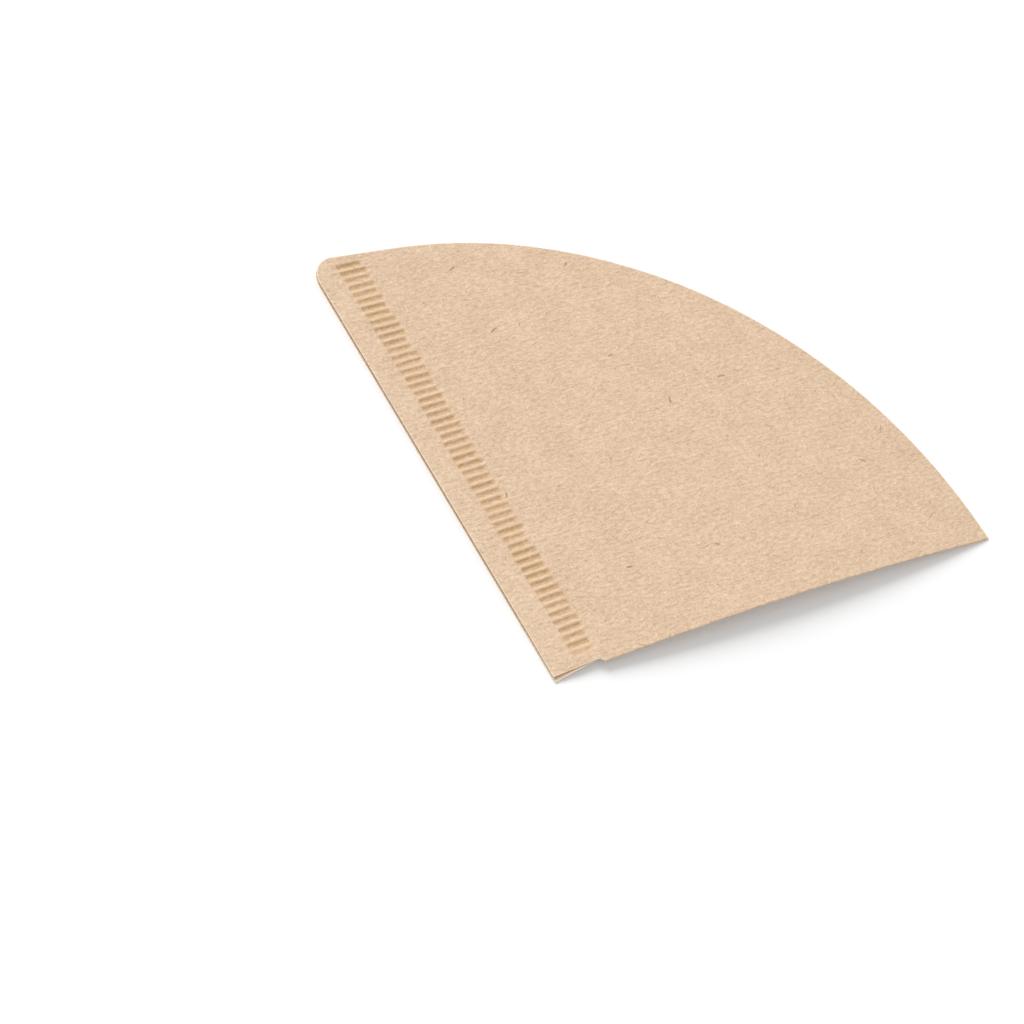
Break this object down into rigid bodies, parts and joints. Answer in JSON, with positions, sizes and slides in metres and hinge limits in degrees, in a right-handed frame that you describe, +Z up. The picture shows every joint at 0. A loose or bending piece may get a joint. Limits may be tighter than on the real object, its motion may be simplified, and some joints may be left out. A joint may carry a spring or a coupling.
{
  "type": "paper coffee filter",
  "caption": "Cone filter of unbleached brown paper, folded flat into a quarter disc of two plies, with a crimped seam of pressed grooves and a free margin.",
  "frame": {"origin": "centre of the footprint's box, on the surface that the filter lies on", "axes": "+X along the fold, from the cone's tip to its mouth; +Y along the crimped seam, from the tip to the mouth; +Z up, out of the flat sheet"},
  "size_m": [0.1316, 0.1196, 0.0047],
  "materials": {
    "paper": "matte unbleached paper with a fine fibrous crepe"
  },
  "bodies": {
    "root": {"paper_filter": "paper"}
  },
  "joints": []
}
